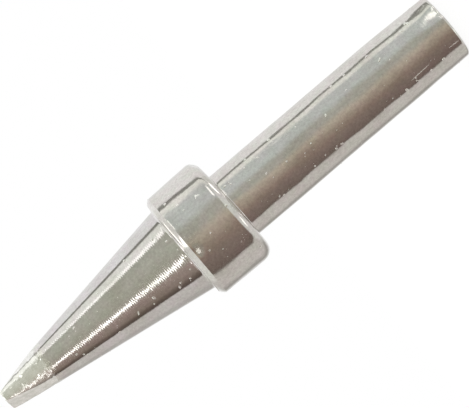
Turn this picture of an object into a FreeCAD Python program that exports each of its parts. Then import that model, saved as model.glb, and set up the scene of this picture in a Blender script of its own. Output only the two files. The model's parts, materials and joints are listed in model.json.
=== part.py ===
import FreeCAD, Part
import Sketcher
import os

# Soldering iron tip: one turned and plated piece, hollow at the back for the heater.
# It stands on its rear end. The origin is the centre of the rear end face, +Z runs
# along the axis to the point, and the blade of the chisel lies along X. Millimetres.

SIZES = {
    "ShankDiameter": 5.6,
    "ShankLength": 20.55,
    "ShankEndRadius": 0.25,
    "CollarLength": 4.9,
    "CollarRearDiameter": 9.1,
    "CollarFrontDiameter": 9.0,
    "CollarRearRadius": 0.85,
    "CollarFrontChamfer": 0.42,
    "ChamferEdgeRadius": 0.15,
    "ToolNoseRadius": 0.1,
    "ConeLength": 17.05,
    "ConeBaseDiameter": 7.3,
    "PointDiameter": 2.0,
    "BoreDiameter": 4.2,
    "BoreDepth": 22.0,
    "BoreDrillAngle": 118.0,
    "BoreMouthChamfer": 0.2,
    "FrontFlatOffset": 0.63,
    "FrontFlatAngle": 14.8,
    "BackFlatOffset": 0.15,
    "BackFlatAngle": 16.6,
    "BladeEdgeRadius": 0.15,
    "DentLength": 5.8,
    "DentDepth": 0.17,
    "DentDirection": 58.5,
}

doc = FreeCAD.newDocument("SolderingIronTip")

# Driving dimensions
sheet = doc.addObject("Spreadsheet::Sheet", "Sizes")
for row, (alias, value) in enumerate(SIZES.items(), start=1):
    sheet.set(f"A{row}", alias)
    sheet.set(f"B{row}", str(value))
    sheet.setAlias(f"B{row}", alias)
doc.recompute()

COLLAR_FRONT = "(Sizes.ShankLength + Sizes.CollarLength)"
POINT_END = "(Sizes.ShankLength + Sizes.CollarLength + Sizes.ConeLength)"
CONE_BASE_RADIUS = "Sizes.ConeBaseDiameter / 2"
REAR_STEP = "(Sizes.CollarRearDiameter - Sizes.ShankDiameter) / 2"
FRONT_STEP = "(Sizes.CollarFrontDiameter - Sizes.ConeBaseDiameter) / 2"
SHANK_WALL = "(Sizes.ShankDiameter - Sizes.BoreDiameter) / 2"

# The most of a step in diameter, of a chamfer or of the shank's wall that one edge may take
OUTER_SHARE = 0.75
CHAMFER_SHARE = 0.6
INNER_SHARE = 0.15
CREASE_SHARE = 0.5
MOUTH_SHARE = 0.4
SAME = 1e-6


def size(expression):
    """The value in millimetres or degrees of an expression of the sheet's sizes."""
    value = sheet.evalExpression(expression)
    return float(getattr(value, "Value", value))


def limited(wanted, share, wall):
    """The expression for an edge's size that never takes more than this share of its wall."""
    return f"min({wanted}; {share} * {wall})"


# The chamfer between the collar's side and its front face, and the rims at its two ends
FRONT_CHAMFER = limited("Sizes.CollarFrontChamfer", CHAMFER_SHARE, FRONT_STEP)
CHAMFER_TOP = f"{COLLAR_FRONT} - {FRONT_CHAMFER}"
CHAMFER_RIM = f"Sizes.CollarFrontDiameter - 2 * {FRONT_CHAMFER}"


def new_sketch(body, role, name):
    """A sketch on one of the body's own origin planes."""
    plane = next(part for part in body.Origin.OriginFeatures if part.Role == role)
    sketch = body.newObject("Sketcher::SketchObject", name)
    sketch.AttachmentSupport = [(plane, "")]
    sketch.MapMode = "FlatFace"
    return sketch


def draw_outline(sketch, corners):
    """Closes straight lines through corners, each held by two expressions from the origin."""
    points = [FreeCAD.Vector(size(across), size(along), 0) for across, along in corners]
    for index, start in enumerate(points):
        end = points[(index + 1) % len(points)]
        sketch.addGeometry(Part.LineSegment(start, end), False)
    for index, (across, along) in enumerate(corners):
        following = (index + 1) % len(corners)
        join = Sketcher.Constraint("Coincident", index, 2, following, 1)
        sketch.addConstraint(join)
        hold_coordinate(sketch, index, "DistanceX", across, -2)
        hold_coordinate(sketch, index, "DistanceY", along, -1)


def hold_coordinate(sketch, index, kind, expression, axis):
    """Ties one coordinate of a corner to its expression, or the corner to the axis."""
    if expression == "0":
        sketch.addConstraint(Sketcher.Constraint("PointOnObject", index, 1, axis))
        return
    name = f"{kind}_{index}"
    distance = Sketcher.Constraint(kind, -1, 1, index, 1, size(expression))
    sketch.addConstraint(distance)
    sketch.renameConstraint(sketch.ConstraintCount - 1, name)
    sketch.setExpression(f"Constraints.{name}", expression)


def rims(feature, diameter, height):
    """Names of the feature's round edges with this diameter and height."""
    doc.recompute()
    found = []
    for number, edge in enumerate(feature.Shape.Edges, start=1):
        if not isinstance(edge.Curve, Part.Circle):
            continue
        right_size = abs(edge.Curve.Radius - size(diameter) / 2) < SAME
        if right_size and abs(edge.Curve.Center.z - size(height)) < SAME:
            found.append(f"Edge{number}")
    return found


def end_edges(feature, height):
    """Names of the edges that lie in the plane square to the axis at this height."""
    doc.recompute()
    found = []
    for number, edge in enumerate(feature.Shape.Edges, start=1):
        box = edge.BoundBox
        if box.ZMin > size(height) - SAME and box.ZMax < size(height) + SAME:
            found.append(f"Edge{number}")
    return found


def round_edges(body, name, base, edges, radius):
    """A fillet whose radius is one of the sheet's sizes."""
    fillet = body.newObject("PartDesign::Fillet", name)
    fillet.Base = (base, edges)
    fillet.Radius = size(radius)
    fillet.setExpression("Radius", radius)
    doc.recompute()
    return fillet


def cut_through(body, name, sketch):
    """Cuts the sketch's outline away on both sides of its plane."""
    before = body.Tip.Shape.Volume
    pocket = body.newObject("PartDesign::Pocket", name)
    pocket.Profile = sketch
    pocket.Type = "Length"
    pocket.Midplane = True
    pocket.Length = size("Sizes.CollarRearDiameter * 2")
    pocket.setExpression("Length", "Sizes.CollarRearDiameter * 2")
    doc.recompute()
    if not pocket.Shape.Volume < before:
        raise RuntimeError(f"{name} cuts nothing")
    return pocket


def turn_outside(body):
    """The turned form: straight shank, wider collar, and a cone down to the point."""
    profile = new_sketch(body, "XZ_Plane", "TurnedProfile")
    draw_outline(profile, [
        ("0", "0"),
        ("Sizes.ShankDiameter / 2", "0"),
        ("Sizes.ShankDiameter / 2", "Sizes.ShankLength"),
        ("Sizes.CollarRearDiameter / 2", "Sizes.ShankLength"),
        ("Sizes.CollarFrontDiameter / 2", CHAMFER_TOP),
        (f"({CHAMFER_RIM}) / 2", COLLAR_FRONT),
        (CONE_BASE_RADIUS, COLLAR_FRONT),
        ("Sizes.PointDiameter / 2", POINT_END),
        ("0", POINT_END),
    ])
    turned = body.newObject("PartDesign::Revolution", "TurnedOutside")
    turned.Profile = profile
    turned.ReferenceAxis = (profile, ["V_Axis"])
    turned.Angle = 360.0
    doc.recompute()
    return turned


def round_turned_edges(body, turned):
    """Rounds the collar, the inner corners that the tool leaves, and the rear end."""
    edges = rims(turned, "Sizes.CollarRearDiameter", "Sizes.ShankLength")
    radius = limited("Sizes.CollarRearRadius", OUTER_SHARE, REAR_STEP)
    rounded = round_edges(body, "CollarRearRounding", turned, edges, radius)

    edges = rims(rounded, "Sizes.CollarFrontDiameter", CHAMFER_TOP)
    edges += rims(rounded, CHAMFER_RIM, COLLAR_FRONT)
    radius = limited("Sizes.ChamferEdgeRadius", CREASE_SHARE, FRONT_CHAMFER)
    rounded = round_edges(body, "ChamferEdges", rounded, edges, radius)

    edges = rims(rounded, "Sizes.ShankDiameter", "Sizes.ShankLength")
    radius = limited("Sizes.ToolNoseRadius", INNER_SHARE, REAR_STEP)
    rounded = round_edges(body, "ShankCorner", rounded, edges, radius)

    edges = rims(rounded, "Sizes.ConeBaseDiameter", COLLAR_FRONT)
    radius = limited("Sizes.ToolNoseRadius", INNER_SHARE, FRONT_STEP)
    rounded = round_edges(body, "ConeCorner", rounded, edges, radius)

    edges = rims(rounded, "Sizes.ShankDiameter", "0 mm")
    radius = limited("Sizes.ShankEndRadius", MOUTH_SHARE, SHANK_WALL)
    round_edges(body, "RearEndRounding", rounded, edges, radius)


def drill_heater_bore(body):
    """The blind bore that slides over the heater, with its drill point and chamfered mouth."""
    profile = new_sketch(body, "XZ_Plane", "BoreProfile")
    drill_end = "Sizes.BoreDepth + Sizes.BoreDiameter / 2 / tan(Sizes.BoreDrillAngle / 2)"
    chamfer = limited("Sizes.BoreMouthChamfer", MOUTH_SHARE, SHANK_WALL)
    draw_outline(profile, [
        ("0", "0"),
        (f"Sizes.BoreDiameter / 2 + {chamfer}", "0"),
        ("Sizes.BoreDiameter / 2", chamfer),
        ("Sizes.BoreDiameter / 2", "Sizes.BoreDepth"),
        ("0", drill_end),
    ])
    before = body.Tip.Shape.Volume
    bore = body.newObject("PartDesign::Groove", "HeaterBore")
    bore.Profile = profile
    bore.ReferenceAxis = (profile, ["V_Axis"])
    bore.Angle = 360.0
    doc.recompute()
    if not bore.Shape.Volume < before:
        raise RuntimeError("HeaterBore cuts nothing")


def grind_flat(body, name, side, offset, angle):
    """One flat of the chisel: a plane that leans off the axis, from the end to the cone."""
    sketch = new_sketch(body, "YZ_Plane", f"{name}Profile")
    run_out = f"{POINT_END} - ({CONE_BASE_RADIUS} - {offset}) / tan({angle})"
    draw_outline(sketch, [
        (f"{side} * {offset}", POINT_END),
        (f"{side} * {CONE_BASE_RADIUS}", POINT_END),
        (f"{side} * {CONE_BASE_RADIUS}", run_out),
    ])
    return cut_through(body, name, sketch)


def press_dent(body):
    """The shallow flat that wear has pressed into one side of the shank's rear end."""
    sketch = new_sketch(body, "XZ_Plane", "DentProfile")
    upright = FreeCAD.Vector(0, 1, 0)
    turn = FreeCAD.Rotation(upright, size("Sizes.DentDirection"))
    sketch.AttachmentOffset = FreeCAD.Placement(FreeCAD.Vector(), turn)
    sketch.setExpression("AttachmentOffset.Rotation.Angle", "Sizes.DentDirection")
    draw_outline(sketch, [
        ("Sizes.ShankDiameter / 2 - Sizes.DentDepth", "0"),
        ("Sizes.ShankDiameter / 2 + Sizes.DentDepth", "0"),
        ("Sizes.ShankDiameter / 2 + Sizes.DentDepth", "Sizes.DentLength"),
        ("Sizes.ShankDiameter / 2", "Sizes.DentLength"),
    ])
    cut_through(body, "RearDent", sketch)


def check_and_write(body):
    """Stops on any failed object or a bad solid, and writes the piece as a STEP file."""
    for part in doc.Objects:
        if "Invalid" in part.State or "Error" in part.State:
            raise RuntimeError(f"{part.Name} failed: {part.State}")
    shape = body.Shape
    if shape.isNull() or not shape.isValid() or len(shape.Solids) != 1:
        raise RuntimeError(f"{body.Label} is not one valid solid")
    shape.exportStep(f"parts/{body.Label}.step")
    print(f"{body.Label}: volume {shape.Volume:.1f} mm3, box {shape.BoundBox}")


# The one piece
iron_tip = doc.addObject("PartDesign::Body", "IronTip")
iron_tip.Label = "iron_tip"
doc.recompute()

turned_outside = turn_outside(iron_tip)
round_turned_edges(iron_tip, turned_outside)
press_dent(iron_tip)
drill_heater_bore(iron_tip)
grind_flat(iron_tip, "FrontFlat", -1, "Sizes.FrontFlatOffset", "Sizes.FrontFlatAngle")
back_flat = grind_flat(iron_tip, "BackFlat", 1, "Sizes.BackFlatOffset", "Sizes.BackFlatAngle")
blade_edges = end_edges(back_flat, POINT_END)
round_edges(iron_tip, "BladeEdge", back_flat, blade_edges, "Sizes.BladeEdgeRadius")

os.makedirs("parts", exist_ok=True)
check_and_write(iron_tip)
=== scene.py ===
"""Soldering iron tip: the plated and tinned surface over the CAD solid, on a plain white stage.

Lengths in this file are millimetres until mm() turns them to metres. Angles round the tip are
measured from the photo camera's direction, positive towards the lower right of the picture.
"""

import json
import math
from functools import partial

import bmesh
import bpy
import numpy as np
from bpy.props import FloatProperty, FloatVectorProperty, IntProperty, PointerProperty
from mathutils import Matrix, Vector


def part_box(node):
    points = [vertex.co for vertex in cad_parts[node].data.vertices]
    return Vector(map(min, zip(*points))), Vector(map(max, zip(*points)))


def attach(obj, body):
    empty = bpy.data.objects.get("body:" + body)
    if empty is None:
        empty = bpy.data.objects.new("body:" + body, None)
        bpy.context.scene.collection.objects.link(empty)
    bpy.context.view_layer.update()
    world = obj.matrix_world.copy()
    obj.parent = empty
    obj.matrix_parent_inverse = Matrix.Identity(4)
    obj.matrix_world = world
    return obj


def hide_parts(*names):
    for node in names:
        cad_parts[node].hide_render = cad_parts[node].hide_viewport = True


bl_info = {
    "name": "Soldering Iron Tip",
    "version": (1, 0, 0),
    "blender": (4, 5, 0),
    "location": "View3D > Sidebar > Iron Tip",
    "description": "Builds the plated surface of a used chisel tip and a white stage for it",
    "category": "Add Mesh",
}

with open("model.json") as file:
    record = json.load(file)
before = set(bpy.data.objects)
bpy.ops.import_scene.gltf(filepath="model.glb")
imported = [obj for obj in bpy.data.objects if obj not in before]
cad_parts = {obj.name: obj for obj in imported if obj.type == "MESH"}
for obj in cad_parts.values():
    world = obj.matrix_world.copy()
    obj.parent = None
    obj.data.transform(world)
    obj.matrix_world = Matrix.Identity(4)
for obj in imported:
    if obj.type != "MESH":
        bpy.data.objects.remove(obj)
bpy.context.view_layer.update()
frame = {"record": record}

NODE = "iron_tip"
BODY = "root"
MOUNTS = {mount["name"]: mount for mount in frame["record"]["mounts"]}
TIP_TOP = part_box(NODE)[1][2]

# Kinds and settings of node that come up often
MATHS = "ShaderNodeMath"
VECTOR_MATHS = "ShaderNodeVectorMath"
RANGE = "ShaderNodeMapRange"
NOISE = "ShaderNodeTexNoise"
MIX = "ShaderNodeMix"
SMOOTH = {"interpolation_type": "SMOOTHSTEP"}
IN_COLOUR = {"data_type": "RGBA"}


def mm(value):
    """Millimetres to metres."""
    return value * 0.001


def linear(hex_colour):
    """A linear colour from sRGB hex digits."""
    channels = [int(hex_colour[start:start + 2], 16) / 255 for start in (1, 3, 5)]
    return [c / 12.92 if c <= 0.04045 else ((c + 0.055) / 1.055) ** 2.4 for c in channels] + [1.0]


def add_node(node_tree, kind, inputs=(), **settings):
    """Adds a node, sets its properties, fills or links its inputs by name or order, and gives its outputs."""
    node = node_tree.nodes.new(kind)
    for name, value in settings.items():
        setattr(node, name, value)
    for key, value in inputs.items() if isinstance(inputs, dict) else enumerate(inputs):
        if isinstance(value, bpy.types.NodeSocket):
            node_tree.links.new(value, node.inputs[key])
        else:
            node.inputs[key].default_value = value
    return node.outputs


def empty_nodes(owner):
    """Clears the nodes of a material or world, and gives the function that adds nodes to it."""
    owner.use_nodes = True
    owner.node_tree.nodes.clear()
    return partial(add_node, owner.node_tree)


def length(name, description, default):
    """A length property whose default is given in millimetres."""
    return FloatProperty(name=name, description=description, default=mm(default), unit="LENGTH", precision=5)


def angle(name, description, default):
    """An angle property whose default is given in degrees."""
    return FloatProperty(name=name, description=description, default=math.radians(default), subtype="ANGLE")


def colour(name, description, default):
    """A colour property whose default is given in sRGB hex digits."""
    return FloatVectorProperty(
        name=name, description=description, default=linear(default), size=4, subtype="COLOR", min=0, max=1
    )


class TipSizes(bpy.types.PropertyGroup):
    """Sizes of the solid that the surface follows. What the mounts state comes from the frame."""

    shank_diameter: length("Shank diameter", "Straight part behind the collar",
                           2 * MOUNTS["shank"]["dims"]["r_mm"])
    shank_length: length("Shank length", "From the rear end to the collar",
                         1000 * MOUNTS["collar_rear_face"]["pos_m"][2])
    shank_end_radius: length("Rear rounding", "Rounding of the shank's rear edge", 0.25)
    collar_length: length("Collar length", "From the collar's rear face to its front face",
                          1000 * (MOUNTS["collar_front_face"]["pos_m"][2]
                                  - MOUNTS["collar_rear_face"]["pos_m"][2]))
    collar_rear_diameter: length("Collar rear diameter", "The collar is a little wider here", 9.1)
    collar_front_diameter: length("Collar front diameter", "Towards the cone", 9.0)
    collar_rear_radius: length("Collar rear rounding", "Rounding of the rear edge", 0.85)
    collar_front_chamfer: length("Collar front chamfer", "Width of the front edge's chamfer", 0.42)
    corner_radius: length("Inner corners", "Left by the nose of the turning tool", 0.1)
    cone_base_diameter: length("Cone base diameter", "Where the cone leaves the collar", 7.3)
    point_diameter: length("Point diameter", "Of the cone at its end", 2.0)
    bore_diameter: length("Bore diameter", "Of the heater bore", 2 * MOUNTS["heater_bore"]["dims"]["r_mm"])
    bore_depth: length("Bore depth", "To the start of the drill point", 22.0)
    bore_chamfer: length("Bore chamfer", "At the bore's mouth", 0.2)
    front_flat_offset: length("Front flat", "Distance from the axis at the end", 0.63)
    back_flat_offset: length("Back flat", "Distance from the axis at the end", 0.15)
    blade_edge_radius: length("Blade edge", "Rounding of the blade's end", 0.15)
    dent_depth: length("Dent depth", "Of the dent near the rear end", 0.17)
    dent_length: length("Dent length", "Of the dent near the rear end", 5.8)
    front_flat_angle: angle("Front flat angle", "Lean off the axis", 14.8)
    back_flat_angle: angle("Back flat angle", "Lean off the axis", 16.6)
    segments: IntProperty(name="Segments", description="Round the tip", default=160, min=24)


class FinishSettings(bpy.types.PropertyGroup):
    """What turning, plating, tinning and use have left on the surface."""

    groove_pitch: length("Groove pitch", "Feed of the turning tool on the cone", 0.17)
    groove_depth: length("Groove depth", "From ridge to valley", 0.0013)
    tin_length: length("Tinned length", "From the end to the edge of the solder", 4.0)
    tin_edge: length("Tinned edge", "How far the solder's edge wanders", 1.8)
    tin_ridge: length("Tinned ridge", "Height of the solder's edge", 0.015)
    lump_height: length("Solder lumps", "Height of the lumps in the solder", 0.07)
    lump_size: length("Lump size", "Width of the lumps in the solder", 0.9)
    wave_height: length("Unevenness", "Height of the plating's unevenness", 0.09)
    wave_size: length("Wave size", "Width of the plating's unevenness", 2.6)
    ripple_height: length("Ripples", "Height of the fine ripples drawn out along the axis", 0.009)
    ripple_size: length("Ripple size", "Width of the fine ripples", 0.7)
    nodule_radius: length("Nodule radius", "Of the largest scattered nodules", 0.075)
    nodule_spacing: length("Nodule spacing", "Mean distance between nodules", 1.3)
    seed: IntProperty(name="Seed", description="Of the scattered nodules", default=7)


class FinishColours(bpy.types.PropertyGroup):
    """The clean colours of the finishes. Haze, blotches and mottle lie over them."""

    plating: colour("Plating", "Chromium plate of the shank and the collar", "#DFDDDB")
    turned: colour("Turned plating", "Chromium plate over the turned cone", "#E1DFE0")
    film: colour("Solder film", "Thin film of solder past the tin's edge", "#EEEDEA")
    nodule: colour("Nodules", "Rough plating of the nodules", "#FAFAF8")
    solder: colour("Solder", "Tin solder on the point", "#FDFCFA")
    copper: colour("Copper", "Heated copper in the bore", "#A8775A")


class StageSettings(bpy.types.PropertyGroup):
    """The camera's place, and the floor's size and shadow."""

    distance: length("Camera distance", "From the tip's axis", 229.0)
    picture_width: length("Picture width", "Width that the picture spans at the axis", 34.44)
    look_height: length("Look height", "Height on the axis at the picture's centre", 20.41)
    camera_height: length("Camera height", "Height of the camera", 26.7)
    azimuth: angle("Azimuth", "Of the camera, round the tip", 58.5)
    roll: angle("Roll", "Turn of the picture from upright", 130.47)
    sideways: length("Sideways", "How far the axis lies from the picture's middle", 0.064)
    floor_radius: length("Floor radius", "Of the round floor", 400.0)
    shadow: FloatProperty(name="Shadow", description="Share of the floor's shadow that shows",
                          default=0.2, min=0, max=1, subtype="FACTOR")


# The property groups by the names that they have on the scene
GROUPS = {
    "tip_sizes": TipSizes,
    "tip_finish": FinishSettings,
    "tip_colours": FinishColours,
    "tip_stage": StageSettings,
}


# The turned outline

# The drill's included angle, in degrees
DRILL_POINT = 118

# A groove's narrow crest lies on its first two rings, and its wide valley on the other two. The
# numbers are shares of the pitch.
GROOVE_RINGS = (0.0, 0.12, 0.42, 0.72)
VALLEY_START, VALLEY_END = 0.27, 0.86


def straight(start, end, spacing):
    """Points from start up to, but without, end, no further apart than spacing."""
    count = max(1, math.ceil(math.dist(start, end) / spacing))
    return [tuple(a + (b - a) * step / count for a, b in zip(start, end)) for step in range(count)]


def rounded(centre, radius, first, last, count):
    """Points on an arc between two angles in degrees, without the last."""
    angles = [math.radians(first + (last - first) * step / count) for step in range(count)]
    return [(centre[0] + radius * math.cos(a), centre[1] + radius * math.sin(a)) for a in angles]


def bore_outline(s):
    """The bore from its drill point down to its chamfered mouth, as radius and height."""
    bore = s.bore_diameter / 2
    drill_height = s.bore_depth + bore / math.tan(math.radians(DRILL_POINT / 2))
    return (
        straight((bore * 0.02, drill_height), (bore, s.bore_depth), mm(0.4))
        + straight((bore, s.bore_depth), (bore, s.bore_chamfer), mm(2))
        + straight((bore, s.bore_chamfer), (bore + s.bore_chamfer, 0), mm(0.1))
    )


def shank_outline(s):
    """The rear face, the rear rounding and the shank up to the inner corner by the collar."""
    shank, end, corner = s.shank_diameter / 2, s.shank_end_radius, s.corner_radius
    # The rings lie closer over the dented part
    dented = mm(6)
    return (
        straight((s.bore_diameter / 2 + s.bore_chamfer, 0), (shank - end, 0), mm(0.1))
        + rounded((shank - end, end), end, -90, 0, 7)
        + straight((shank, end), (shank, dented), mm(0.2))
        + straight((shank, dented), (shank, s.shank_length - corner), mm(0.3))
        + rounded((shank + corner, s.shank_length - corner), corner, 180, 90, 4)
    )


def collar_outline(s):
    """The collar's rear face, its rounding, its slightly tapered side, its chamfer and its front face."""
    rear, front = s.collar_rear_diameter / 2, s.collar_front_diameter / 2
    bottom, top = s.shank_length, s.shank_length + s.collar_length
    rear_round, chamfer, corner = s.collar_rear_radius, s.collar_front_chamfer, s.corner_radius
    # The chamfer is slightly crowned: an arc over the middle 30 degrees of a quarter turn
    crown = chamfer / (math.cos(math.radians(30)) - math.sin(math.radians(30)))
    middle = (front - crown * math.cos(math.radians(30)), top - crown * math.sin(math.radians(60)))
    side_end = (front - mm(0.01), top - chamfer - mm(0.03))
    return (
        straight((s.shank_diameter / 2 + corner, bottom), (rear - rear_round, bottom), mm(0.3))
        + rounded((rear - rear_round, bottom + rear_round), rear_round, -90, 0, 12)
        + straight((rear, bottom + rear_round), side_end, mm(0.15))
        + [side_end]
        + rounded(middle, crown, 30, 60, 8)
        + straight((front - chamfer, top), (s.cone_base_diameter / 2 + corner, top), mm(0.1))
    )


def cone_outline(s, pitch, tin_spacing, tin_length):
    """The inner corner by the collar and the cone, up to the rounding of the blade's end."""
    base, point, corner = s.cone_base_diameter / 2, s.point_diameter / 2, s.corner_radius
    bottom = s.shank_length + s.collar_length
    slope = (base - point) / (TIP_TOP - bottom)
    grooves = int((TIP_TOP - tin_length - bottom) / pitch)
    heights = [pitch * (groove + place) for groove in range(1, grooves) for place in GROOVE_RINGS]
    middle, end = pitch * grooves, TIP_TOP - s.blade_edge_radius - bottom
    return (
        rounded((base + corner, bottom + corner), corner, -90, -180, 4)
        + [(base - slope * height, bottom + height) for height in [corner] + heights]
        + straight((base - slope * middle, bottom + middle), (base - slope * end, bottom + end), tin_spacing)
    )


# The turned body

def soft_excess(beyond, softness):
    """How far a point lies past a plane, with the plane's edge rounded."""
    return (beyond + np.sqrt(beyond ** 2 + softness ** 2)) / 2


def ring(radius, height, s):
    """One ring of points round the axis, at one height."""
    angles = np.arange(s.segments) * math.tau / s.segments
    return np.stack([radius * np.cos(angles), radius * np.sin(angles), np.full(s.segments, height)], axis=1)


def grind(points, s, inset=0.0):
    """Moves the points that lie past the chisel's two flats back onto them."""
    for side, offset, lean in (
        (-1, s.front_flat_offset, s.front_flat_angle),
        (1, s.back_flat_offset, s.back_flat_angle),
    ):
        plane = offset + (TIP_TOP - points[:, 2]) * math.tan(lean) - inset
        points[:, 1] -= side * soft_excess(side * points[:, 1] - plane, mm(0.05))
    return points


def press(points, s, direction):
    """Flattens the rear end of the shank on one side, where it is dented."""
    across = np.array([math.cos(direction), math.sin(direction), 0.0])
    plane = s.shank_diameter / 2 - s.dent_depth * (1 - points[:, 2] / s.dent_length)
    beyond = points @ across - plane
    near = points[:, 2] < s.dent_length * 1.5
    points[near] -= soft_excess(beyond[near], mm(0.02))[:, None] * across
    return points


def skew(points, s, direction):
    """Leans the collar's rear face and the cone a little out of true, as they are in the photo."""
    set_back, lean, shank_reach = mm(0.035), 0.03, mm(1.5)
    off_at_base, drift = mm(0.055), 0.0068
    across = points[:, 0] * math.cos(direction) + points[:, 1] * math.sin(direction)
    height = points[:, 2] - s.shank_length
    # The rear face stands back on the far side, over the collar's rounding and the shank's last part
    fade = np.clip(1 - np.where(height < 0, -height / shank_reach, height / s.collar_rear_radius), 0, 1)
    points[:, 2] -= fade * (set_back + lean * across)
    # The cone runs out: off the axis by the collar, and past it on the other side at the point
    past = points[:, 2] - s.shank_length - s.collar_length
    run_out = np.where(past > 0, off_at_base - drift * past, 0.0)
    points[:, 0] += run_out * math.cos(direction)
    points[:, 1] += run_out * math.sin(direction)
    return points


def wear_collar(points, s, direction):
    """Rubs down the collar's rear edge on one side, where it has seated unevenly."""
    worn = mm(0.45)
    across = np.array([math.cos(direction), math.sin(direction), -1.0]) / math.sqrt(2)
    corner = np.array([s.collar_rear_diameter / 2, s.shank_length])
    plane = (corner[0] - corner[1]) / math.sqrt(2) - worn
    beyond = points @ across - plane
    near = points[:, 2] > s.shank_length - mm(0.01)
    points[near] -= soft_excess(beyond[near], mm(0.02))[:, None] * across
    return points


# Dimples that handling has left: height in millimetres, angle from the camera, half length, half
# width and depth in millimetres
DIMPLES = [
    (-0.5, -26, 1.4, 0.5, 0.21), (0.6, -46, 1.2, 0.45, 0.045), (1.3, -21, 0.5, 0.25, 0.02),
    (25.0, 10.2, 0.42, 0.4, 0.1),
    (15.6, -36, 0.8, 0.16, 0.014), (17.1, -38, 0.3, 0.15, 0.012), (20.3, 12, 0.5, 0.5, 0.02),
    (11.3, 46, 0.7, 0.3, 0.012), (23.4, 60, 0.6, 0.4, 0.02), (8.6, -8, 0.9, 0.5, 0.015),
    (13.2, 14, 1.2, 0.35, 0.012),
]


def dimple(points, around, place):
    """Presses one soft dimple inwards, an oval with its long side along the axis."""
    height, _, half_length, half_width, depth = place
    across = np.array([math.cos(around), math.sin(around)])
    radius = np.maximum(np.hypot(points[:, 0], points[:, 1]), mm(0.1))
    cosine = (points[:, :2] @ across) / radius
    arc = np.arccos(np.clip(cosine, -1, 1)) * radius
    far = ((points[:, 2] - mm(height)) / mm(half_length)) ** 2 + (arc / mm(half_width)) ** 2
    inwards = mm(depth) * np.exp(-far)
    points[:, :2] *= (1 - inwards / radius)[:, None]
    return points


def round_angle(stage, degrees):
    """The angle from +X of a place that is given by its angle from the photo camera."""
    return stage.azimuth - math.pi / 2 - math.radians(degrees)


def blade_end(s):
    """Rings of the blade's rounded end and of its cap, the last one close to its centre."""
    base, point = s.cone_base_diameter / 2, s.point_diameter / 2
    slope = (base - point) / (TIP_TOP - s.shank_length - s.collar_length)
    edge, steps = s.blade_edge_radius, 6
    rings = []
    for step in range(steps + 1):
        turn = math.pi / 2 * step / steps
        height = TIP_TOP - edge + edge * math.sin(turn)
        inset = edge * (1 - math.cos(turn))
        radius = point + slope * (TIP_TOP - height) - inset
        rings.append(grind(ring(radius, height, s), s, inset))
    rim = rings[-1]
    centre = rim.mean(axis=0)
    for share in (0.85, 0.65, 0.45, 0.25, 0.1, 0.02):
        rings.append(centre + (rim - centre) * share)
    return rings


def closed_mesh(name, rings):
    """A closed mesh through rings of equal count, with one flat face at each end."""
    count = len(rings[0])
    points = np.concatenate(rings)
    faces = []
    for row in range(len(rings) - 1):
        first, second = row * count, (row + 1) * count
        for step in range(count):
            following = (step + 1) % count
            faces.append((first + step, first + following, second + following, second + step))
    faces.append(tuple(range(count))[::-1])
    faces.append(tuple((len(rings) - 1) * count + step for step in range(count)))
    mesh = bpy.data.meshes.new(name)
    mesh.from_pydata(points.tolist(), [], faces)
    mesh.validate()
    return mesh


def outline_rings(s, finish, stage):
    """Rings of the whole closed outline, from the drill point to the end, and which are outside."""
    dent_side, wear_side, skew_side = (round_angle(stage, side) for side in (-90, -80, 90))
    inside = bore_outline(s)
    # The tin's closer rings start a little below its mean edge, because the edge wanders
    cone = cone_outline(s, finish.groove_pitch, mm(0.05), finish.tin_length + mm(0.8))
    outside = shank_outline(s) + collar_outline(s) + cone
    rings = [ring(radius, height, s) for radius, height in inside]
    for radius, height in outside:
        points = grind(ring(radius, height, s), s)
        points = press(points, s, dent_side)
        for place in DIMPLES:
            if abs(height - mm(place[0])) < mm(place[2]) * 3:
                points = dimple(points, round_angle(stage, place[1]), place)
        points = wear_collar(points, s, wear_side)
        rings.append(skew(points, s, skew_side))
    end = [skew(points, s, skew_side) for points in blade_end(s)]
    return rings + end, [0] * len(inside) + [1] * (len(outside) + len(end))


# What turning, tinning and use add to the surface

# The unevenness lies below the turned form by this share of its height
WAVE_SINK = 0.2


def new_tree(name, inputs):
    """A new Geometry Nodes tree, the function that adds nodes to it, and what its inputs give."""
    tree = bpy.data.node_groups.new(name, "GeometryNodeTree")
    tree.is_modifier = True
    tree.interface.new_socket("Geometry", in_out="INPUT", socket_type="NodeSocketGeometry")
    for label, kind in inputs.items():
        tree.interface.new_socket(label, in_out="INPUT", socket_type="NodeSocket" + kind)
    tree.interface.new_socket("Geometry", in_out="OUTPUT", socket_type="NodeSocketGeometry")
    add = partial(add_node, tree)
    return tree, add, add("NodeGroupInput")


def uneven_patterns(add, place, given):
    """The uneven patterns that the finish uses, each a number from 0 to 1 at every point."""
    # Width, detail, offset in millimetres, and how far each is drawn out along the axis
    patterns = {
        "edge": (mm(0.45), 4.0, 31, 1.0),
        "lumps": (given["Lump Size"], 1.5, 3, 1.0),
        "chatter": (mm(0.45), 2.0, 11, 1.0),
        "waves": (given["Wave Size"], 2.0, 17, 0.55),
        "ripples": (given["Ripple Size"], 2.0, 5, 0.3),
        "tongues": (mm(0.16), 2.0, 41, 1.0),
    }
    noise = {}
    for name, (width, detail, offset, along) in patterns.items():
        moved = add(VECTOR_MATHS, (place, (1.0, 1.0, along), (mm(offset),) * 3), operation="MULTIPLY_ADD")[0]
        scale = add(MATHS, (1.0, width), operation="DIVIDE")[0]
        noise[name] = add(NOISE, {"Vector": moved, "Scale": scale, "Detail": detail})[0]
    return noise


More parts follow.
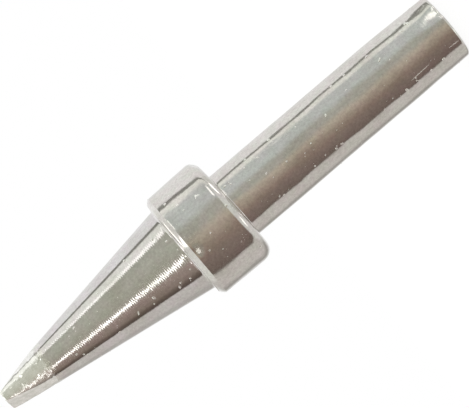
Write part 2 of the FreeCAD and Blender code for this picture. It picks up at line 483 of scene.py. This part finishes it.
def turning_grooves(add, height, given, chatter):
    """How far the turning grooves rise or sink at every point, and how much of a point is cone."""
    start = given["Groove Start"]
    along = add(MATHS, (height, start), operation="SUBTRACT")[0]
    turn = add(MATHS, (along, given["Groove Pitch"]), operation="DIVIDE")[0]
    within = add(MATHS, (turn,), operation="FRACT")[0]
    entered = add(MATHS, (within, VALLEY_START), operation="GREATER_THAN")[0]
    not_left = add(MATHS, (within, VALLEY_END), operation="LESS_THAN")[0]
    valley = add(MATHS, (entered, not_left), operation="MULTIPLY")[0]
    wave = add(MATHS, (0.5, valley), operation="SUBTRACT")[0]
    # Each is a little deeper or shallower than the next, and none fades out
    strength = add(MATHS, (chatter, 3.0, -0.9), operation="MULTIPLY_ADD")[0]
    strength = add(MATHS, (strength, 0.1), operation="MAXIMUM")[0]
    depth = add(MATHS, (given["Groove Depth"], strength), operation="MULTIPLY")[0]
    # They begin just past the collar's front face
    ends = [add(MATHS, (start, mm(past)), operation="ADD")[0] for past in (0.05, 0.3)]
    cone = add(RANGE, (height, *ends), **SMOOTH)[0]
    grooves = add(MATHS, (wave, depth), operation="MULTIPLY")[0]
    return add(MATHS, (grooves, cone), operation="MULTIPLY")[0], cone


# The inputs of the finish tree that the finish settings of the same names give
FINISH_INPUTS = ("Groove Pitch", "Groove Depth", "Tin Edge", "Tin Ridge", "Lump Height", "Lump Size",
                 "Wave Height", "Wave Size", "Ripple Height", "Ripple Size")


def finish_tree(materials):
    """The tree that cuts the turning grooves, lays the solder and makes the plating uneven."""
    names = ("Groove Start", "Tin Start", *FINISH_INPUTS)
    tree, add, given = new_tree("turned_plated_and_tinned", dict.fromkeys(names, "Float"))
    place = add("GeometryNodeInputPosition")[0]
    height = add("ShaderNodeSeparateXYZ", (place,))["Z"]
    outside = add("GeometryNodeInputNamedAttribute", {"Name": "outside"}, data_type="FLOAT")["Attribute"]
    noise = uneven_patterns(add, place, given)
    relief = {}
    for name, middle, label in (("lumps", 0.52, "Lump Height"), ("waves", 0.5, "Wave Height"),
                                ("ripples", 0.5, "Ripple Height")):
        centred = add(MATHS, (noise[name], middle), operation="SUBTRACT")[0]
        relief[name] = add(MATHS, (centred, given[label]), operation="MULTIPLY")[0]

    # The solder's edge wanders round the tip, and stands up in a soft ridge
    wander = add(MATHS, (noise["edge"], 0.5), operation="SUBTRACT")[0]
    edge = add(MATHS, (wander, given["Tin Edge"], height), operation="MULTIPLY_ADD")[0]
    past = add(MATHS, (edge, given["Tin Start"]), operation="SUBTRACT")[0]
    tinned = add(RANGE, (past, mm(-0.04), mm(0.06)), **SMOOTH)[0]
    bare = add(MATHS, (1.0, tinned), operation="SUBTRACT")[0]
    fall = add(RANGE, (past, mm(0.06), mm(0.7)), **SMOOTH)[0]
    left = add(MATHS, (1.0, fall), operation="SUBTRACT")[0]
    ridge = add(MATHS, (tinned, left), operation="MULTIPLY")[0]
    ridge = add(MATHS, (ridge, given["Tin Ridge"]), operation="MULTIPLY")[0]

    # Broad unevenness, and ripples that run along the axis: both fainter on the turned cone
    grooves, cone = turning_grooves(add, height, given, noise["chatter"])
    uneven = add(MATHS, (relief["waves"], relief["ripples"]), operation="ADD")[0]
    share = add(MATHS, (cone, -0.8, 1.0), operation="MULTIPLY_ADD")[0]
    uneven = add(MATHS, (uneven, share), operation="MULTIPLY")[0]
    uneven = add(MATHS, (given["Wave Height"], -WAVE_SINK, uneven), operation="MULTIPLY_ADD")[0]

    # All of it pushes the surface out or in, and none of it the bore
    on_bare = add(MATHS, (grooves, bare), operation="MULTIPLY")[0]
    in_tin = add(MATHS, (relief["lumps"], tinned), operation="MULTIPLY")[0]
    total = on_bare
    for part in (in_tin, ridge, uneven):
        total = add(MATHS, (total, part), operation="ADD")[0]
    total = add(MATHS, (total, outside), operation="MULTIPLY")[0]
    normal = add("GeometryNodeInputNormal")[0]
    push = add(VECTOR_MATHS, {0: normal, "Scale": total}, operation="SCALE")[0]
    moved = add("GeometryNodeSetPosition", {"Geometry": given["Geometry"], "Offset": push})[0]

    # A film of solder too thin to see as a step reaches about 0.3 mm past the edge, in tongues
    tongues = add(MATHS, (noise["tongues"], mm(0.6)), operation="MULTIPLY")[0]
    reach = add(MATHS, (past, tongues), operation="ADD")[0]
    on_film = add(MATHS, (reach, 0.0), operation="GREATER_THAN")[0]

    # Each finish goes on its own faces, over those before it
    on_cone = add(MATHS, (height, given["Groove Start"]), operation="GREATER_THAN")[0]
    on_tin = add(MATHS, (tinned, 0.5), operation="GREATER_THAN")[0]
    in_bore = add(MATHS, (outside, 0.5), operation="LESS_THAN")[0]
    places = {"plating": 1.0, "turned": on_cone, "film": on_film, "solder": on_tin, "bore": in_bore}
    real = add("GeometryNodeRealizeInstances", (moved,))[0]
    for name, where in places.items():
        chosen = add(MATHS, (where, 0.5), operation="GREATER_THAN")[0]
        real = add("GeometryNodeSetMaterial", (real, chosen, materials[name]))[0]
    add("NodeGroupOutput", (real,))
    return tree


def set_inputs(modifier, values):
    """Sets a Geometry Nodes modifier's inputs by the identifiers of their sockets."""
    identifiers = {item.name: item.identifier for item in modifier.node_group.interface.items_tree
                   if item.item_type == "SOCKET" and item.in_out == "INPUT"}
    for name, value in values.items():
        modifier[identifiers[name]] = value


def baked(piece):
    """Turns the piece's modifiers into a plain mesh and removes them."""
    graph = bpy.context.evaluated_depsgraph_get()
    mesh = bpy.data.meshes.new_from_object(piece.evaluated_get(graph), depsgraph=graph)
    piece.modifiers.clear()
    piece.data = mesh
    mesh.name = piece.name
    return piece


def new_piece(name, mesh):
    """Puts a mesh in the scene as a piece at the origin."""
    piece = bpy.data.objects.new(name, mesh)
    bpy.context.scene.collection.objects.link(piece)
    return piece


# Finishes

def new_material(name):
    """A new material, the function that adds nodes to it, and the place of each point on its piece."""
    material = bpy.data.materials.new(name)
    add = empty_nodes(material)
    return material, add, add("ShaderNodeTexCoord")["Object"]


def finish_material(material, inputs):
    """Ends a material in a Principled shader with these inputs."""
    shader = add_node(material.node_tree, "ShaderNodeBsdfPrincipled", inputs)[0]
    add_node(material.node_tree, "ShaderNodeOutputMaterial", {"Surface": shader})
    return material


def plated_metal(name, base, haze, roughness, grain, streak):
    """Chromium over copper, barrel plated and used: bright, with faint grain and drawn streaks."""
    material, add, place = new_material(name)

    # Hazy patches about 2.5 mm wide, where handling has dulled the plating
    patches = add(NOISE, {"Vector": place, "Scale": 1 / mm(2.5), "Detail": 4.0})[0]
    dull = add(RANGE, (patches, 0.4, 0.75))[0]
    hazed = add(MIX, {"Factor": dull, "A": base, "B": linear(haze)}, **IN_COLOUR)["Result"]
    rough = add(RANGE, (patches, 0.3, 0.8, roughness, roughness * 1.9))[0]

    # Blotches about 0.8 mm wide, faintly pink or green, and a finer mottle 0.2 mm wide
    blotch = add(NOISE, {"Vector": place, "Scale": 1 / mm(0.8), "Detail": 3.0})[0]
    tint = add(RANGE, (blotch, 0.35, 0.65))[0]
    pink, green = linear("#FCF8F9"), linear("#F8FAF6")
    tints = add(MIX, {"Factor": tint, "A": pink, "B": green}, **IN_COLOUR)["Result"]
    tinted = add(MIX, {"Factor": 1.0, "A": hazed, "B": tints}, blend_type="MULTIPLY", **IN_COLOUR)["Result"]
    mottle = add(NOISE, {"Vector": place, "Scale": 1 / mm(0.2), "Detail": 3.0})[0]
    shade = add(RANGE, (mottle, 0.25, 0.75, 0.86, 1.12))[0]
    shaded = add(VECTOR_MATHS, {0: tinted, "Scale": shade}, operation="SCALE")[0]

    # Plating grain about 0.22 mm wide, and streaks 0.3 mm wide drawn out along the axis
    grains = add(NOISE, {"Vector": place, "Scale": 1 / mm(0.22), "Detail": 2.0})[0]
    drawn = add("ShaderNodeMapping", {"Vector": place, "Scale": (1.0, 1.0, 0.04)})[0]
    streaks = add(NOISE, {"Vector": drawn, "Scale": 1 / mm(0.3), "Detail": 3.0})[0]
    grainy = add("ShaderNodeBump", {"Height": grains, "Distance": mm(grain), "Strength": 1.0})[0]
    streaky = add("ShaderNodeBump", {
        "Height": streaks, "Distance": mm(streak), "Strength": 1.0, "Normal": grainy})[0]
    return finish_material(material, {
        "Metallic": 1.0, "Base Color": shaded, "Roughness": rough, "Normal": streaky})


def solder_tinning(base):
    """Tin solder, wiped and frozen: paler and milkier than the plating, with a fine soft grain."""
    material, add, place = new_material("wiped_tin_solder")
    cloud = add(NOISE, {"Vector": place, "Scale": 1 / mm(0.5), "Detail": 3.0})[0]
    patch = add(RANGE, (cloud, 0.35, 0.65))[0]
    clouded = add(MIX, {"Factor": patch, "A": base, "B": linear("#E9E9E4")}, **IN_COLOUR)["Result"]
    rough = add(RANGE, (cloud, 0.3, 0.7, 0.08, 0.17))[0]
    fine = add(NOISE, {"Vector": place, "Scale": 1 / mm(0.18), "Detail": 2.0})[0]
    bump = add("ShaderNodeBump", {"Height": fine, "Distance": mm(0.005), "Strength": 1.0})[0]
    # A film of flux and oxide scatters a little light, so that the tin looks milky beside the plating
    return finish_material(material, {
        "Metallic": 0.85, "Base Color": clouded, "Roughness": rough, "Normal": bump})


def drilled_bore(base):
    """Copper as the drill left it and heat has browned it: dull, with fine rings."""
    material, add, place = new_material("heat_browned_copper")
    cloud = add(NOISE, {"Vector": place, "Scale": 1 / mm(1.5), "Detail": 4.0})[0]
    browned = add(MIX, {"Factor": cloud, "A": base, "B": linear("#6B4A3A")}, **IN_COLOUR)["Result"]
    rings = add("ShaderNodeMapping", {"Vector": place, "Scale": (0.02, 0.02, 1.0)})[0]
    drill = add(NOISE, {"Vector": rings, "Scale": 1 / mm(0.3), "Detail": 2.0})[0]
    bump = add("ShaderNodeBump", {"Height": drill, "Distance": mm(0.02), "Strength": 1.0})[0]
    return finish_material(material, {
        "Metallic": 1.0, "Base Color": browned, "Roughness": 0.42, "Normal": bump})


# The plated finishes: material, haze, roughness, and the heights of grain and streaks in millimetres
PLATED = {
    "plating": ("barrel_chrome_plate", "#D2CFCB", 0.085, 0.003, 0.002),
    "turned": ("turned_chrome_plate", "#D4D1CE", 0.055, 0.002, 0.0),
    "film": ("solder_filmed_plate", "#DCDAD4", 0.13, 0.004, 0.0),
    "nodule": ("rough_plating_nodule", "#EFEFEC", 0.3, 0.004, 0.0),
}


def finishes(colours):
    """The finishes of the tip, made once."""
    known = bpy.data.materials
    made = {}
    for part, (name, *look) in PLATED.items():
        made[part] = known.get(name) or plated_metal(name, getattr(colours, part), *look)
    made["solder"] = known.get("wiped_tin_solder") or solder_tinning(colours.solder)
    made["bore"] = known.get("heat_browned_copper") or drilled_bore(colours.copper)
    return made


class IRONTIP_OT_body(bpy.types.Operator):
    """Build the turned, plated and tinned body over its solid"""

    bl_idname = "irontip.body"
    bl_label = "Build Tip Body"

    def execute(self, context):
        scene = context.scene
        sizes, finish = scene.tip_sizes, scene.tip_finish
        rings, outside = outline_rings(sizes, finish, scene.tip_stage)
        mesh = closed_mesh("tip_body", rings)
        flags = mesh.attributes.new("outside", "FLOAT", "POINT")
        flags.data.foreach_set("value", np.repeat(np.array(outside, dtype=np.float32), sizes.segments))
        mesh.shade_smooth()
        body = new_piece("tip_body", mesh)
        modifier = body.modifiers.new("finish", "NODES")
        modifier.node_group = finish_tree(finishes(scene.tip_colours))
        values = {name: getattr(finish, name.lower().replace(" ", "_")) for name in FINISH_INPUTS}
        values["Groove Start"] = sizes.shank_length + sizes.collar_length
        values["Tin Start"] = TIP_TOP - finish.tin_length
        set_inputs(modifier, values)
        baked(body)
        body.data.set_sharp_from_angle(angle=math.radians(38))
        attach(body, BODY)
        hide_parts(NODE)
        return {"FINISHED"}


# Plating nodules

# Height of a small nodule, as a share of its width
SMALL_RISE = 0.27


def scatter_tree(material):
    """The tree that scatters half-sunk plating nodules over the outside of the tip."""
    tree, add, given = new_tree("plating_nodules", {
        "Host": "Object", "Spacing": "Float", "Largest": "Float", "Lowest": "Float", "Highest": "Float",
        "Seed": "Int"})
    host = add("GeometryNodeObjectInfo", {"Object": given["Host"]})["Geometry"]
    place = add("GeometryNodeInputPosition")[0]
    height = add("ShaderNodeSeparateXYZ", (place,))["Z"]
    above = add(MATHS, (height, given["Lowest"]), operation="GREATER_THAN")[0]
    below = add(MATHS, (height, given["Highest"]), operation="LESS_THAN")[0]
    between = add(MATHS, (above, below), operation="MULTIPLY")[0]
    outside = add("GeometryNodeInputNamedAttribute", {"Name": "outside"}, data_type="FLOAT")["Attribute"]
    both = add(MATHS, (between, outside), operation="MULTIPLY")[0]
    allowed = add(MATHS, (both, 0.5), operation="GREATER_THAN")[0]
    area = add(MATHS, (given["Spacing"], given["Spacing"]), operation="MULTIPLY")[0]
    density = add(MATHS, (1.0, area), operation="DIVIDE")[0]
    spots = add("GeometryNodeDistributePointsOnFaces", {
        "Mesh": host, "Selection": allowed, "Density": density, "Seed": given["Seed"]})
    # Most nodules are small and a few are large
    chance = add("FunctionNodeRandomValue", {"Seed": given["Seed"]}, data_type="FLOAT")["Value"]
    rare = add(MATHS, (chance, 3.0), operation="POWER")[0]
    share = add(RANGE, {0: rare, 3: 0.28, 4: 1.0})[0]
    width = add(MATHS, (share, given["Largest"]), operation="MULTIPLY")[0]
    rise = add(MATHS, (width, SMALL_RISE), operation="MULTIPLY")[0]
    flat = add("ShaderNodeCombineXYZ", (width, width, rise))[0]
    ball = add("GeometryNodeMeshIcoSphere", {"Radius": 1.0, "Subdivisions": 2})["Mesh"]
    smooth = add("GeometryNodeSetShadeSmooth", {"Geometry": ball})[0]
    placed = add("GeometryNodeInstanceOnPoints", {
        "Points": spots["Points"], "Instance": smooth, "Rotation": spots["Rotation"], "Scale": flat})[0]
    real = add("GeometryNodeRealizeInstances", (placed,))[0]
    dressed = add("GeometryNodeSetMaterial", {"Geometry": real, "Material": material})[0]
    add("NodeGroupOutput", (dressed,))
    return tree


# Nodules large enough to be seen singly: height in millimetres, angle from the camera, radius
LARGE_NODULES = [
    (24.35, -48, 0.13), (22.05, -49, 0.14), (23.7, -37, 0.1), (23.2, 5, 0.08), (21.6, 29, 0.11),
    (21.9, 31, 0.09), (21.05, 52, 0.13), (21.05, -5, 0.11), (6.15, -46, 0.11), (2.45, -46, 0.15),
    (2.3, -43, 0.12), (3.05, -40, 0.11), (5.7, -25, 0.1), (7.65, 40, 0.1), (5.5, 40, 0.13), (3.2, 41, 0.1),
    (2.0, 40, 0.12), (11.25, -14, 0.09), (15.6, 1, 0.1), (15.55, -47, 0.12), (17.8, -47, 0.09),
    (13.4, 4, 0.08), (12.2, 37, 0.09), (11.65, 37, 0.09), (14.2, 36, 0.09), (26.7, -36, 0.12),
    (29.35, 26, 0.12), (29.6, 34, 0.09), (27.15, 31, 0.1), (27.4, 35.5, 0.12), (26.4, 34, 0.12),
    (26.0, -20, 0.1), (35.2, -22, 0.09), (36.3, 24.5, 0.1), (35.9, 35, 0.08), (20.2, -33, 0.09),
    (19.8, -33, 0.07), (19.75, -29, 0.08), (17.0, -34, 0.09), (9.55, -47, 0.12), (17.3, -5, 0.09),
    (22.2, -30.5, 0.12), (8.3, -47, 0.12), (17.3, 39.5, 0.08), (17.6, 36, 0.07), (18.25, -35, 0.09),
    (29.25, -45, 0.1), (32.85, 40, 0.08),
]

# Raised scratches: height and angle as above, half length, and lean off the axis in degrees
RAISED_SCRATCHES = [
    (22.33, -30.5, 0.26, 62), (22.08, -30, 0.16, 118), (5.6, -26, 0.16, 40),
    (26.5, -30, 0.2, 70), (30.9, 31, 0.2, 60), (4.0, 31, 0.9, 2), (0.75, 31.5, 0.45, -3),
]

# A scratch with a longer half length than this is a fine one
LONG_SCRATCH = 0.4
FINE_HALF_WIDTH = 0.035
BROAD_HALF_WIDTH = 0.07

# Of the half width: how far a large nodule or scratch rises from its middle, and how deep that lies
LARGE_RISE = 0.6
LARGE_SINK = 0.1


def radius_at(height, s):
    """The tip's radius at a height, without its roundings and flats."""
    if height < s.shank_length:
        return s.shank_diameter / 2
    if height < s.shank_length + s.collar_length:
        return (s.collar_rear_diameter + s.collar_front_diameter) / 4
    share = (height - s.shank_length - s.collar_length) / (TIP_TOP - s.shank_length - s.collar_length)
    return (s.cone_base_diameter + share * (s.point_diameter - s.cone_base_diameter)) / 2


def large_nodules(scene):
    """A mesh of the nodules and scratches that are seen singly, each sunk to about its middle."""
    sizes, stage = scene.tip_sizes, scene.tip_stage
    shapes = []
    # Nodules are ovals of three lengths that lie every way
    for number, (height, around, radius) in enumerate(LARGE_NODULES):
        half_width = radius * 0.85
        half_length = half_width * (1.0 + 0.3 * (number % 3))
        shapes.append((height, around, half_width, half_length, number * 46))
    for height, around, half_length, lean in RAISED_SCRATCHES:
        half_width = FINE_HALF_WIDTH if half_length > LONG_SCRATCH else BROAD_HALF_WIDTH
        shapes.append((height, around, half_width, half_length, lean))
    surface = scene.tip_finish.wave_height * WAVE_SINK
    # Nothing stands out further than the collar's widest part
    limit = sizes.collar_front_diameter / 2 + mm(0.03)
    sketch = bmesh.new()
    for height, around, half_width, half_length, lean in shapes:
        rise = mm(half_width) * LARGE_RISE
        sunk = radius_at(mm(height), sizes) - surface - mm(half_width) * LARGE_SINK
        lift = Matrix.Translation((min(sunk, limit - rise), 0, mm(height)))
        shape = Matrix.Diagonal((rise, mm(half_width), mm(half_length), 1))
        turn = Matrix.Rotation(math.radians(lean), 4, "X")
        place = Matrix.Rotation(round_angle(stage, around), 4, "Z") @ lift @ turn @ shape
        bmesh.ops.create_icosphere(sketch, subdivisions=3, radius=1.0, matrix=place)
    mesh = bpy.data.meshes.new("large_nodules")
    sketch.to_mesh(mesh)
    sketch.free()
    mesh.shade_smooth()
    mesh.materials.append(finishes(scene.tip_colours)["nodule"])
    return mesh


class IRONTIP_OT_nodules(bpy.types.Operator):
    """Add the nodules that the plating bath has left on the tip"""

    bl_idname = "irontip.nodules"
    bl_label = "Add Plating Nodules"

    def execute(self, context):
        scene = context.scene
        sizes, finish = scene.tip_sizes, scene.tip_finish
        body = bpy.data.objects.get("tip_body")
        if body is None:
            raise RuntimeError("Build the tip body before its nodules")
        small = new_piece("small_nodules", bpy.data.meshes.new("small_nodules"))
        modifier = small.modifiers.new("scatter", "NODES")
        modifier.node_group = scatter_tree(finishes(scene.tip_colours)["nodule"])
        set_inputs(modifier, {
            "Host": body, "Spacing": finish.nodule_spacing, "Largest": finish.nodule_radius,
            "Lowest": sizes.shank_end_radius * 2, "Highest": TIP_TOP - finish.tin_length, "Seed": finish.seed,
        })
        baked(small)
        for piece in (small, new_piece("large_nodules", large_nodules(scene))):
            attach(piece, BODY)
            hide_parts(NODE)
        return {"FINISHED"}


# The stage

# What stands round the tip, by angle from the camera: a white sheet behind, the room in front
SHEET = "#FFFFFF"
GAP = "#93938D"
UPPER_GAP = "#92928B"
CREAM = "#FEFFF8"
COOL_WALL = "#D3D8D5"
SAGE_WALL = "#BAB9AF"
BEIGE_WALL = "#C8BDAD"
DARK_SHELF = "#7D6E67"
DARKEST = "#6C5E58"
UPPER_DARKEST = "#5F544D"
LOWER_SHEET = "#D8D4CF"
LOWER_EDGE = "#ADAAA5"
UPPER_EDGE = "#C8C5C0"
CLOSED_SHEET = "#E9E9E5"
OPENING = "#F4F4F0"

ROOM_LEVEL = [
    (-180, "#F3F3F2"), (-160, "#F0F0EF"), (-140, "#F9F9F7"), (-100, "#FCFCFA"), (-98, GAP), (-91, GAP),
    (-89, CREAM), (-78, CREAM), (-71, COOL_WALL), (-42, COOL_WALL), (-26, SAGE_WALL), (-14, SAGE_WALL),
    (0, BEIGE_WALL), (14, "#B4A697"), (32, "#99877B"), (50, "#8B7B73"), (68, "#83736C"), (75, DARK_SHELF),
    (79.5, DARKEST), (83.5, LOWER_SHEET), (124, LOWER_SHEET), (140, LOWER_EDGE), (148, LOWER_EDGE),
    (160, "#DDDCDA"), (170, SHEET), (180, SHEET),
]
ROOM_ABOVE = [
    (-180, SHEET), (-103, SHEET), (-100, UPPER_GAP), (-94, UPPER_GAP), (-91, CREAM), (-67, CREAM),
    (-60, "#B9BBAE"), (-30, "#BDBEB0"), (0, "#B3B3A4"), (26, "#AEA79B"), (36, "#A99990"),
    (62, "#93857B"), (70, "#75685F"), (80.5, UPPER_DARKEST), (84, LOWER_SHEET), (118, LOWER_SHEET),
    (130, UPPER_EDGE), (148, UPPER_EDGE), (158, "#D8D7D4"), (170, SHEET), (180, SHEET),
]

# Rises in degrees: where the level room gives way to the upper one, and where the sheet closes over both
UPPER_ROOM = (2, 7)
CLOSING = (34, 46)

# The upper room is a little darker low down than high up, which is what draws the turning grooves
LOW_LIGHT, HIGH_LIGHT = 0.93, 1.12
LIGHT_RISE = (7, 31)

# The room's bright openings: angle from the camera, height, half width, half height, how far the
# opening leans for each degree of height, and its strength
WINDOWS = [
    (22.5, 18.4, 3.4, 10, 4.5, 2.2),
    (-69.0, 13.5, 3.4, 5, 2.2, 0.65),
    (-16.0, 78, 26.0, 14, 0.0, 1.4),
    (-155.0, 70, 24.0, 15, 0.0, 1.2),
    (-92.0, -60, 13.0, 9, 0.0, 1.3),
    (66.0, -68, 13.0, 7, 0.0, 1.1),
    (-54.0, -22, 12.0, 7, 0.0, 0.85),
    (-54.0, 28, 10.0, 4, 0.0, 1.1),
]


def room_ramp(add, place, stops):
    """The room's colour round the tip, with each stop at an angle from the camera's direction."""
    ramp = add("ShaderNodeValToRGB", {"Fac": place})["Color"]
    elements = ramp.node.color_ramp.elements
    while len(elements) > 1:
        elements.remove(elements[-1])
    for index, (angle, shade) in enumerate(stops):
        position = (angle + 180) / 360
        element = elements[0] if index == 0 else elements.new(position)
        element.position = position
        element.color = linear(shade)
    return ramp


def room_world(stage):
    """The room round the tip: white to the camera, and the sheet and walls to the metal."""
    world = bpy.data.worlds.new("sheet_and_room")
    bpy.context.scene.world = world
    add = empty_nodes(world)

    # Each direction as an angle round the tip from the camera, and a rise from level
    direction = add("ShaderNodeTexCoord")["Generated"]
    spin = math.pi / 2 - stage.azimuth
    turned = add("ShaderNodeVectorRotate", {"Vector": direction, "Angle": spin}, rotation_type="Z_AXIS")[0]
    axes = add("ShaderNodeSeparateXYZ", (turned,))
    mirrored = add(MATHS, (axes["Y"], -1.0), operation="MULTIPLY")[0]
    around = add(MATHS, (mirrored, axes["X"]), operation="ARCTAN2")[0]
    share = add(RANGE, (around, -math.pi, math.pi))[0]
    rise = add(MATHS, (axes["Z"],), operation="ARCSINE")[0]

    level, above = room_ramp(add, share, ROOM_LEVEL), room_ramp(add, share, ROOM_ABOVE)
    high = add(RANGE, (rise, *map(math.radians, UPPER_ROOM)), **SMOOTH)[0]
    room = add(MIX, {"Factor": high, "A": level, "B": above}, **IN_COLOUR)["Result"]
    slant = add(MATHS, (rise,), operation="ABSOLUTE")[0]
    steep = add(RANGE, (slant, *map(math.radians, CLOSING)), **SMOOTH)[0]
    room = add(MIX, {"Factor": steep, "A": room, "B": linear(CLOSED_SHEET)}, **IN_COLOUR)["Result"]
    light = add(RANGE, (rise, *map(math.radians, LIGHT_RISE), LOW_LIGHT, HIGH_LIGHT))[0]
    strength = add(MIX, {"Factor": high, "A": 1.0, "B": light})["Result"]

    for turn, lift, half_width, half_height, lean, extra in WINDOWS:
        over = add(MATHS, (rise, math.radians(lift)), operation="SUBTRACT")[0]
        leant = add(MATHS, (over, lean), operation="MULTIPLY")[0]
        upright = add(MATHS, (around, leant), operation="SUBTRACT")[0]
        beside = add(MATHS, (upright, math.radians(turn)), operation="SUBTRACT")[0]
        aside = add(MATHS, (beside,), operation="ABSOLUTE")[0]
        apart = add(MATHS, (over,), operation="ABSOLUTE")[0]
        # The edges are soft: over 2 degrees at the sides, and over 4 above and below
        sides = (math.radians(half_width + 1), math.radians(half_width - 1))
        ends = (math.radians(half_height + 2), math.radians(half_height - 2))
        across = add(RANGE, (aside, *sides), **SMOOTH)[0]
        along = add(RANGE, (apart, *ends), **SMOOTH)[0]
        inside = add(MATHS, (across, along), operation="MULTIPLY")[0]
        shine = add(MATHS, (inside, extra), operation="MULTIPLY")[0]
        strength = add(MATHS, (shine, strength), operation="ADD")[0]
        room = add(MIX, {"Factor": inside, "A": room, "B": linear(OPENING)}, **IN_COLOUR)["Result"]

    shown = add("ShaderNodeBackground", {"Color": room, "Strength": strength})[0]
    white = add("ShaderNodeBackground", {"Color": (1, 1, 1, 1), "Strength": 1.0})[0]
    path = add("ShaderNodeLightPath")
    seen = add(MATHS, (path["Is Camera Ray"], path["Is Transmission Ray"]), operation="MAXIMUM")[0]
    both = add("ShaderNodeMixShader", (seen, shown, white))[0]
    add("ShaderNodeOutputWorld", {"Surface": both})


def white_floor(stage):
    """A round white floor: white to the camera with a soft shadow, and clear to the metal."""
    mesh = bpy.data.meshes.new("floor")
    sketch = bmesh.new()
    bmesh.ops.create_circle(sketch, cap_ends=True, segments=96, radius=stage.floor_radius)
    sketch.to_mesh(mesh)
    sketch.free()
    floor = new_piece("floor", mesh)
    material = bpy.data.materials.new("white_sweep")
    add = empty_nodes(material)
    matt = add("ShaderNodeBsdfDiffuse", {"Color": (1, 1, 1, 1)})[0]
    glow = add("ShaderNodeEmission", {"Color": (1, 1, 1, 1), "Strength": 1.04})[0]
    clear = add("ShaderNodeBsdfTransparent")[0]
    pale = add("ShaderNodeMixShader", (stage.shadow, glow, matt))[0]
    path = add("ShaderNodeLightPath")
    shown = add("ShaderNodeMixShader", (path["Is Glossy Ray"], pale, clear))[0]
    add("ShaderNodeOutputMaterial", {"Surface": shown})
    mesh.materials.append(material)


def photo_camera(stage):
    """The camera at the photo's angle: nearly level, and rolled so that the tip lies aslant."""
    data = bpy.data.cameras.new("photo_camera")
    camera = bpy.data.objects.new("photo_camera", data)
    away = Vector((math.sin(stage.azimuth), -math.cos(stage.azimuth), 0))
    aside = Vector((math.cos(stage.azimuth), math.sin(stage.azimuth), 0)) * stage.sideways
    camera.location = away * stage.distance + aside + Vector((0, 0, stage.camera_height))
    target = aside + Vector((0, 0, stage.look_height))
    aim = (target - camera.location).to_track_quat("-Z", "Y").to_matrix().to_4x4()
    roll = Matrix.Rotation(-stage.roll, 4, "Z")
    camera.matrix_world = Matrix.Translation(camera.location) @ aim @ roll
    data.lens = data.sensor_width * stage.distance / stage.picture_width
    data.clip_start = stage.distance / 100
    data.clip_end = stage.distance * 100
    bpy.context.scene.collection.objects.link(camera)
    bpy.context.scene.camera = camera


class IRONTIP_OT_stage(bpy.types.Operator):
    """Set the white floor, the room light and the camera"""

    bl_idname = "irontip.stage"
    bl_label = "Set Stage"

    def execute(self, context):
        scene = context.scene
        scene.view_settings.view_transform = "Standard"
        white_floor(scene.tip_stage)
        room_world(scene.tip_stage)
        photo_camera(scene.tip_stage)
        return {"FINISHED"}


class VIEW3D_PT_iron_tip(bpy.types.Panel):
    """Sidebar panel of the tip"""

    bl_label = "Iron Tip"
    bl_space_type = "VIEW_3D"
    bl_region_type = "UI"
    bl_category = "Iron Tip"

    def draw(self, context):
        layout = self.layout
        for operator in OPERATORS:
            layout.operator(operator.bl_idname)
        for name in GROUPS:
            group = getattr(context.scene, name)
            box = layout.box()
            for prop in group.__annotations__:
                box.prop(group, prop)


OPERATORS = (IRONTIP_OT_body, IRONTIP_OT_nodules, IRONTIP_OT_stage)
CLASSES = (*GROUPS.values(), *OPERATORS, VIEW3D_PT_iron_tip)


def register():
    for cls in CLASSES:
        bpy.utils.register_class(cls)
    for name, group in GROUPS.items():
        setattr(bpy.types.Scene, name, PointerProperty(type=group))


def unregister():
    for name in GROUPS:
        delattr(bpy.types.Scene, name)
    for cls in reversed(CLASSES):
        bpy.utils.unregister_class(cls)


def main():
    """Builds the tip and its stage."""
    register()
    bpy.ops.irontip.body()
    bpy.ops.irontip.nodules()
    bpy.ops.irontip.stage()


if __name__ == "__main__":
    main()
